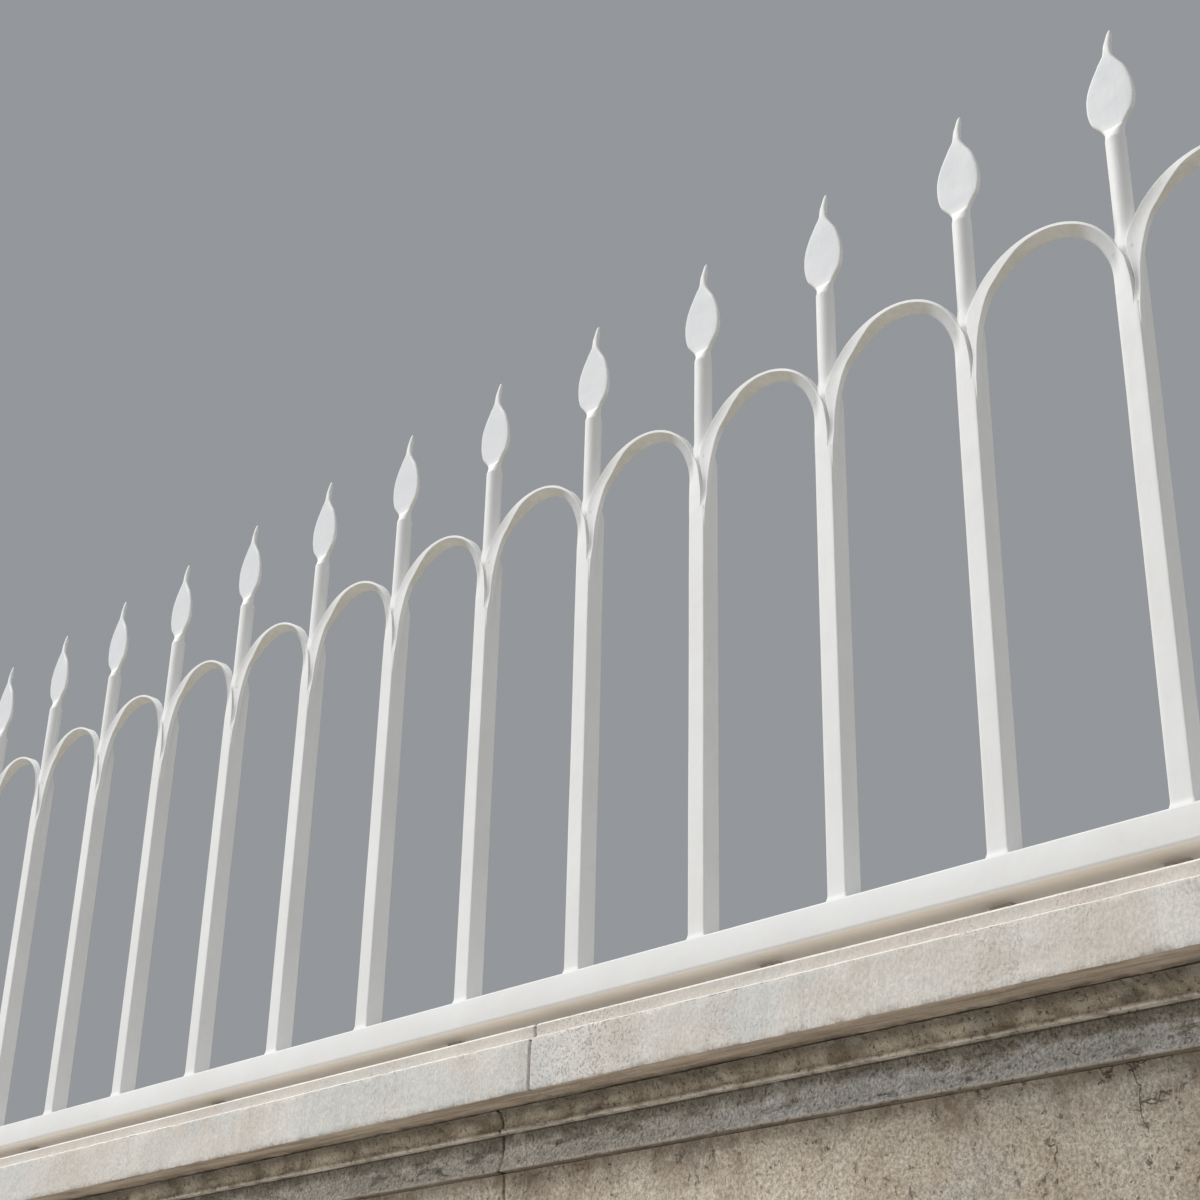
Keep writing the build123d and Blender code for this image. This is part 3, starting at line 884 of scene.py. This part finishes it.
def coping_stone():
    """Pale travertine: soft clouds, upright grain, dark specks and pits, soiling at the edges."""
    tree = Tree("coping_stone")
    low = coping_lo.z * MM
    cloud = tree.noise(11, 5, 0.6, 0.4)
    colour = tree.mix(tree.span(cloud, 0.36, 0.64), (0.66, 0.64, 0.605), (0.585, 0.54, 0.49))
    cool = tree.noise(8, 4, 0.55, place=tree.stretched((1, 1, 1), (4, 0, 2)))
    colour = tree.mix(tree.span(cool, 0.48, 0.64, 0, 0.85), colour, (0.575, 0.58, 0.565))
    grain = tree.noise(1, 4, 0.65, 0.2, tree.stretched((400, 400, 250)))
    colour = tree.shade(colour, tree.span(grain, 0.32, 0.68, 0.88, 1.09))
    vein = tree.noise(1, 5, 0.6, 0.6, tree.stretched((150, 60, 14)))
    colour = tree.mix(tree.span(vein, 0.52, 0.74, 0, 0.40), colour, (0.70, 0.685, 0.65))
    streak = tree.noise(1, 4, 0.6, 0.3, tree.stretched((100, 40, 8), (11, 3, 1)))
    colour = tree.mix(tree.span(streak, 0.54, 0.74, 0, 0.28), colour, (0.42, 0.38, 0.33))
    fillet = tree.span(tree.z, ledge_z * MM - 0.0005, ledge_z * MM + 0.0005)
    colour = tree.mix(tree.math("MULTIPLY", fillet, 0.45), colour, (0.60, 0.53, 0.475))
    colour = tree.shade(colour, (1.075, 1.075, 1.07))
    # Dark specks and small pits, dense in patches and right of the joint in the middle
    patch = tree.span(tree.noise(15, 4, 0.65, place=tree.stretched((1, 1, 1), (1, 9, 4))), 0.46, 0.62, 0.12, 1)
    by_joint = tree.band(tree.x, 0.30, 0.42, 0.10)
    dense = tree.math("MAXIMUM", tree.math("MULTIPLY", patch, 0.4), by_joint)
    pit = tree.span(tree.noise(1, 4, 0.75, place=tree.stretched((420, 420, 400))), 0.56, 0.64)
    pitted = tree.math("MULTIPLY", pit, dense)
    colour = tree.mix(tree.math("MULTIPLY", pitted, 0.40), colour, (0.26, 0.235, 0.205))
    pale = tree.span(tree.noise(420, 3, 0.7, place=tree.stretched((1, 1, 1), (2, 5, 8))), 0.60, 0.72)
    colour = tree.mix(tree.math("MULTIPLY", pale, 0.45), colour, (0.80, 0.785, 0.75))
    # Top bleached by rain and sun
    on_face_up = tree.span(tree.facing_down(), -0.98, -0.90, 1, 0)
    colour = tree.mix(tree.math("MULTIPLY", on_face_up, 0.6), colour, (0.80, 0.77, 0.72))
    # Painted highlight along the arrises at the ledge and at the top, where they catch the light
    outward = tree.math("ABSOLUTE", tree.y)
    on_ledge = tree.band(tree.z, (ledge_z - ledge_chamfer) * MM, ledge_z * MM + 0.0002, 0.0003)
    on_top = tree.span(tree.z, (coping_hi.z - top_chamfer) * MM - 0.0003, (coping_hi.z - top_chamfer) * MM + 0.0003)
    on_top = tree.math("MULTIPLY", on_top, tree.span(outward, (fillet_y - top_chamfer) * MM - 0.001, (fillet_y - top_chamfer) * MM))
    arris = tree.math("MAXIMUM", on_top, tree.math("MULTIPLY", on_ledge, tree.span(outward, fillet_y * MM, half_coping * MM - 0.002)))
    arris = tree.math("MULTIPLY", arris, tree.span(tree.noise(70, 4, 0.6), 0.34, 0.46, 0.3, 1))
    colour = tree.mix(tree.math("MULTIPLY", arris, 0.8), colour, (0.86, 0.83, 0.78))
    # Dark broken line under the ledge arris
    under_arris = tree.band(tree.z, (ledge_z - ledge_chamfer - 1.3) * MM, (ledge_z - ledge_chamfer - 0.3) * MM, 0.0004)
    pieces_of_it = tree.span(tree.noise(130, 4, 0.7, place=tree.stretched((1, 1, 1), (2, 6, 9))), 0.50, 0.58)
    where = tree.math("MULTIPLY", tree.band(tree.x, 0.48, 0.60, 0.06), pieces_of_it)
    where = tree.math("MAXIMUM", where, tree.math("MULTIPLY", tree.span(tree.noise(7, 3, 0.5, place=tree.stretched((1, 1, 1), (9, 9, 2))), 0.56, 0.62), pieces_of_it))
    colour = tree.mix(tree.math("MULTIPLY", tree.math("MULTIPLY", under_arris, where), 0.75), colour, (0.20, 0.165, 0.13))
    # Soiling along the lower arris and on the underside, with painted shade on the underside deepening towards the
    # moulding
    edge = tree.span(tree.z, low + 0.001, low + 0.008, 1, 0)
    grime = tree.span(tree.noise(90, 6, 0.75, place=tree.stretched((1, 1, 1.6))), 0.48, 0.62)
    colour = tree.mix(tree.math("MULTIPLY", tree.math("MULTIPLY", edge, grime), 0.45), colour, (0.20, 0.165, 0.13))
    below = tree.span(tree.facing_down(), 0.5, 0.9)
    drawn_out = tree.noise(1, 5, 0.65, 0.5, tree.stretched((9, 110, 1), (3, 3, 0)))
    underside = tree.mix(tree.span(drawn_out, 0.36, 0.62), (0.36, 0.27, 0.19), (0.66, 0.54, 0.42))
    colour = tree.mix(tree.math("MULTIPLY", below, 0.85), colour, underside)
    # Painted shade on the underside, deepening towards the moulding, mixed with brown stain
    inward = tree.span(tree.y, -half_coping * MM + 0.019, -half_coping * MM + 0.036)
    stain = tree.span(tree.noise(38, 6, 0.72, place=tree.stretched((1, 1.6, 1), (6, 1, 3))), 0.36, 0.62, 0.25, 1)
    stained = tree.math("MULTIPLY", below, tree.math("MULTIPLY", tree.math("ADD", inward, 0.15), stain))
    colour = tree.mix(tree.math("MULTIPLY", stained, 0.8), colour, (0.17, 0.13, 0.095))
    normal = tree.bump(tree.noise(90, 6, 0.65), 0.0014, strength=0.7)
    normal = tree.bump(grain, 0.0005, normal)
    normal = tree.bump(tree.math("MULTIPLY", pitted, -1), 0.0006, normal)
    return tree.finish(colour, tree.span(cloud, 0.3, 0.7, 0.74, 0.92), normal)


def moulding_stone():
    """Weathered moulding: brown grime and painted shade in the upper hollow, a paler bead, a rough blue-grey hollow
    below.
    """
    tree = Tree("moulding_stone")
    top = moulding_hi.z * MM
    bead_low = bead_foot_z * MM
    fine = tree.noise(1, 5, 0.75, 0.2, tree.stretched((400, 400, 300)))
    broad = tree.noise(17, 6, 0.68, 0.4)
    patchy = tree.noise(1, 5, 0.65, 0.5, tree.stretched((26, 60, 90), (2, 2, 2)))
    # Upper hollow, with painted shade darkest right under the coping
    upper = tree.mix(tree.span(broad, 0.38, 0.62), (0.275, 0.225, 0.16), (0.70, 0.61, 0.48))
    shade_under_coping = tree.span(tree.z, top - 0.013, top - 0.002)
    upper = tree.mix(tree.math("MULTIPLY", shade_under_coping, 0.80), upper, (0.15, 0.125, 0.09))
    # Lower hollow, brown at its top with painted shade, partly dirt, right under the bead, blue-grey and rough below
    blue = tree.mix(tree.span(broad, 0.36, 0.64), (0.53, 0.51, 0.475), (0.67, 0.65, 0.625))
    warm = tree.mix(tree.span(broad, 0.36, 0.64), (0.56, 0.52, 0.455), (0.72, 0.67, 0.59))
    blue = tree.mix(tree.span(tree.x, 0.32, 0.60), warm, blue)
    brown = tree.mix(tree.span(broad, 0.40, 0.62), (0.32, 0.285, 0.23), (0.59, 0.55, 0.475))
    wander = tree.math("ADD", tree.z, tree.span(patchy, 0.3, 0.7, -0.013, 0.013))
    lower = tree.mix(tree.span(wander, bead_low - 0.021, bead_low - 0.008), blue, brown)
    shade_and_dirt_under_bead = tree.span(tree.z, bead_low - 0.016, bead_low - 0.002)
    lower = tree.mix(tree.math("MULTIPLY", shade_and_dirt_under_bead, 0.72), lower, (0.115, 0.095, 0.068))
    lower = tree.shade(lower, tree.span(fine, 0.34, 0.66, 0.76, 1.22))
    colour = tree.mix(tree.span(tree.z, bead_low - 0.0005, bead_low + 0.0005), lower, upper)
    colour = tree.shade(colour, tree.span(fine, 0.32, 0.68, 0.82, 1.16))
    bead = tree.band(tree.z, bead_low + 0.0002, bead_low + 0.0024, 0.0008)
    bead_colour = tree.mix(tree.span(broad, 0.36, 0.64), (0.68, 0.61, 0.51), (0.90, 0.82, 0.71))
    worn = tree.span(tree.noise(48, 5, 0.7), 0.36, 0.52, 0.15, 1)
    colour = tree.mix(tree.math("MULTIPLY", bead, worn), colour, bead_colour)
    # Painted shadow in a dark line under the bead
    crease = tree.band(tree.z, bead_low - 0.0016, bead_low - 0.0002, 0.0007)
    colour = tree.mix(tree.math("MULTIPLY", crease, 0.85), colour, (0.055, 0.045, 0.033))
    foot = tree.span(tree.z, moulding_lo.z * MM + 0.0022, moulding_lo.z * MM + 0.0032, 1, 0)
    foot_colour = tree.mix(tree.span(patchy, 0.40, 0.62), (0.56, 0.475, 0.38), (0.33, 0.265, 0.20))
    colour = tree.mix(tree.math("MULTIPLY", foot, 0.85), colour, foot_colour)
    # Painted shadow on the lower half of the fillet
    shadow_low_half = tree.span(tree.z, moulding_lo.z * MM + 0.0008, moulding_lo.z * MM + 0.0018, 1, 0)
    colour = tree.mix(tree.math("MULTIPLY", shadow_low_half, 0.75), colour, (0.15, 0.115, 0.08))
    pale = tree.span(tree.noise(26, 5, 0.7, place=tree.stretched((1, 1, 2), (5, 2, 7))), 0.54, 0.66)
    colour = tree.mix(tree.math("MULTIPLY", pale, 0.40), colour, (0.47, 0.44, 0.385))
    soot = tree.span(patchy, 0.54, 0.68)
    colour = tree.mix(tree.math("MULTIPLY", soot, 0.60), colour, (0.080, 0.068, 0.050))
    pits = tree.span(tree.noise(1, 4, 0.8, place=tree.stretched((300, 300, 240), (3, 3, 3))), 0.58, 0.66)
    colour = tree.mix(tree.math("MULTIPLY", pits, 0.45), colour, (0.075, 0.065, 0.053))
    grit = tree.span(tree.noise(380, 4, 0.8, place=tree.stretched((1, 1, 1), (8, 3, 1))), 0.60, 0.68)
    colour = tree.mix(tree.math("MULTIPLY", grit, 0.25), colour, (0.72, 0.71, 0.69))
    normal = tree.bump(tree.noise(110, 6, 0.7), 0.0024, strength=0.9)
    normal = tree.bump(fine, 0.0010, normal)
    normal = tree.bump(tree.math("MULTIPLY", pits, -1), 0.0012, normal)
    return tree.finish(colour, 0.92, normal)


def wall_stone():
    """Tan stone with dense dark and pale speckle, brown stains and branching cracks."""
    tree = Tree("wall_stone")
    top = wall_hi.z * MM
    broad = tree.noise(6, 5, 0.62, 0.4)
    colour = tree.mix(tree.span(broad, 0.36, 0.64), (0.59, 0.527, 0.44), (0.50, 0.425, 0.335))
    cool = tree.noise(9, 4, 0.55, place=tree.stretched((1, 1, 1), (2, 7, 1)))
    colour = tree.mix(tree.span(cool, 0.50, 0.66, 0, 0.8), colour, (0.54, 0.50, 0.44))
    speck = tree.noise(1, 4, 0.8, 0.2, tree.stretched((330, 330, 300)))
    colour = tree.shade(colour, tree.span(speck, 0.34, 0.66, 0.62, 1.30))
    dark = tree.span(tree.noise(1, 4, 0.8, place=tree.stretched((470, 470, 430), (5, 5, 5))), 0.56, 0.64)
    colour = tree.mix(tree.math("MULTIPLY", dark, 0.70), colour, (0.115, 0.09, 0.065))
    pale = tree.noise(420, 3, 0.8, place=tree.stretched((1, 1, 1), (4, 4, 4)))
    colour = tree.mix(tree.span(pale, 0.57, 0.68, 0, 0.6), colour, (0.66, 0.63, 0.58))
    pock = tree.span(tree.noise(1, 5, 0.75, place=tree.stretched((130, 130, 110), (9, 1, 2))), 0.61, 0.67)
    colour = tree.mix(tree.math("MULTIPLY", pock, 0.65), colour, (0.14, 0.11, 0.08))
    # Darker towards the right, brown stains under the moulding and around the cracks
    colour = tree.shade(colour, tree.span(tree.x, 0.50, 0.90, 1.23, 0.92))
    near_top = tree.span(tree.z, top - 0.050, top - 0.002)
    stain = tree.noise(1, 6, 0.7, 0.5, tree.stretched((17, 17, 12), (1, 2, 6)))
    stained = tree.math("MULTIPLY", tree.span(stain, 0.46, 0.60), tree.math("ADD", near_top, 0.35))
    colour = tree.mix(tree.math("MULTIPLY", stained, 0.48), colour, (0.23, 0.16, 0.10))
    # Painted shade in a dark band right under the moulding
    streak = tree.span(tree.z, top - 0.012, top)
    colour = tree.mix(tree.math("MULTIPLY", streak, 0.45), colour, (0.20, 0.145, 0.10))
    # Cracks, most of them in one place near the right end of the view
    wobble = tree.nodes.new("ShaderNodeTexNoise")
    tree.put(wobble.inputs["Vector"], tree.place)
    wobble.inputs["Scale"].default_value = 34
    wobble.inputs["Detail"].default_value = 6
    bent = tree.nodes.new("ShaderNodeMix")
    bent.data_type = "VECTOR"
    bent.inputs[0].default_value = 0.07
    tree.put(bent.inputs[4], tree.place)
    tree.put(bent.inputs[5], wobble.outputs[1])
    edge = tree.cells(15, "DISTANCE_TO_EDGE", bent.outputs[1])
    broken_place = tree.band(tree.x, 0.60, 0.94, 0.07)
    elsewhere = tree.span(tree.noise(3.4, 3, 0.5, place=tree.stretched((1, 1, 1), (3, 0, 1))), 0.56, 0.66, 0, 0.35)
    gaps = tree.span(tree.noise(11, 4, 0.6, place=tree.stretched((1, 1, 1), (6, 6, 6))), 0.50, 0.58)
    crack_zone = tree.math("MULTIPLY", tree.math("MAXIMUM", broken_place, elsewhere), gaps)
    crack = tree.math("MULTIPLY", tree.span(edge, 0.003, 0.016, 1, 0), crack_zone)
    halo = tree.math("MULTIPLY", tree.span(edge, 0.0, 0.16, 1, 0), crack_zone)
    broken = tree.span(tree.noise(260, 4, 0.8), 0.46, 0.58)
    colour = tree.mix(tree.math("MULTIPLY", tree.math("MULTIPLY", halo, broken), 0.7), colour, (0.17, 0.12, 0.075))
    colour = tree.mix(tree.math("MULTIPLY", crack, 0.7), colour, (0.10, 0.07, 0.045))
    normal = tree.bump(tree.noise(70, 6, 0.7), 0.0026, strength=0.8)
    normal = tree.bump(speck, 0.0012, normal)
    normal = tree.bump(tree.math("MULTIPLY", crack, -1), 0.002, normal)
    normal = tree.bump(tree.math("MULTIPLY", pock, -1), 0.0013, normal)
    return tree.finish(colour, 0.94, normal)


paint = white_paint()
foot_finish = foot_metal()
coping_finish = coping_stone()
moulding_finish = moulding_stone()
wall_finish = wall_stone()

shared_rings = picket_rings()
for picket_number in range(1, picket_count + 1):
    make_picket(picket_number, shared_rings)
for arch_number in range(1, arch_count + 1):
    make_arch(arch_number)
make_rail()
foot_nodes = sorted(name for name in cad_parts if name.startswith("rail_foot_"))
for foot_index, foot_node in enumerate(foot_nodes):
    make_foot(foot_node, 500 + 20 * foot_index)
for stone_number in (1, 2, 3):
    make_coping(stone_number)
    make_moulding(stone_number)
make_wall()

# Camera from the photograph's own perspective, low and to the right of the railing
camera_data = bpy.data.cameras.new("camera")
camera_data.lens = 60.385
camera_data.sensor_width = 36
camera = bpy.data.objects.new("camera", camera_data)
bpy.context.scene.collection.objects.link(camera)
camera.location = (1.66639, -1.34433, 0.75206)
camera.rotation_euler = Euler([math.radians(a) for a in (115.8007, -1.2543, 47.0878)], "XYZ")
bpy.context.scene.camera = camera


def floor_finish():
    tree = Tree("floor")
    colour = tree.mix(tree.noise(2.5, 4), (0.50, 0.49, 0.47), (0.54, 0.53, 0.51))
    normal = tree.bump(tree.noise(60, 4), 0.0004)
    return tree.finish(colour, 0.9, normal)


# Pale floor
bpy.ops.mesh.primitive_plane_add(size=40)
floor = bpy.context.object
floor.name = "floor"
floor.data.materials.append(floor_finish())

world = bpy.data.worlds.new("studio")
bpy.context.scene.world = world
world.use_nodes = True
world.node_tree.nodes["Background"].inputs["Color"].default_value = (0.345, 0.36, 0.38, 1)
world.node_tree.nodes["Background"].inputs["Strength"].default_value = 0.86
bpy.context.scene.view_settings.view_transform = "Standard"


def area_light(name, place, aim, size, power, colour):
    data = bpy.data.lights.new(name, "AREA")
    data.size = size
    data.energy = power
    data.color = colour
    light = bpy.data.objects.new(name, data)
    bpy.context.scene.collection.objects.link(light)
    light.location = place
    light.rotation_euler = (Vector(aim) - Vector(place)).to_track_quat("-Z", "Y").to_euler()
    return light


area_light("key", (-3.8, -4.5, 9.6), (0, 0, 1.3), 3.6, 1095, (1.0, 0.99, 0.97))
area_light("low_fill", (1.2, -3.4, 0.5), (0, 0, 1.3), 2.2, 14, (1.0, 0.93, 0.84))
area_light("rim", (3.8, 2.6, 2.6), (0.2, 0, 1.5), 1.6, 22, (1.0, 0.96, 0.88))
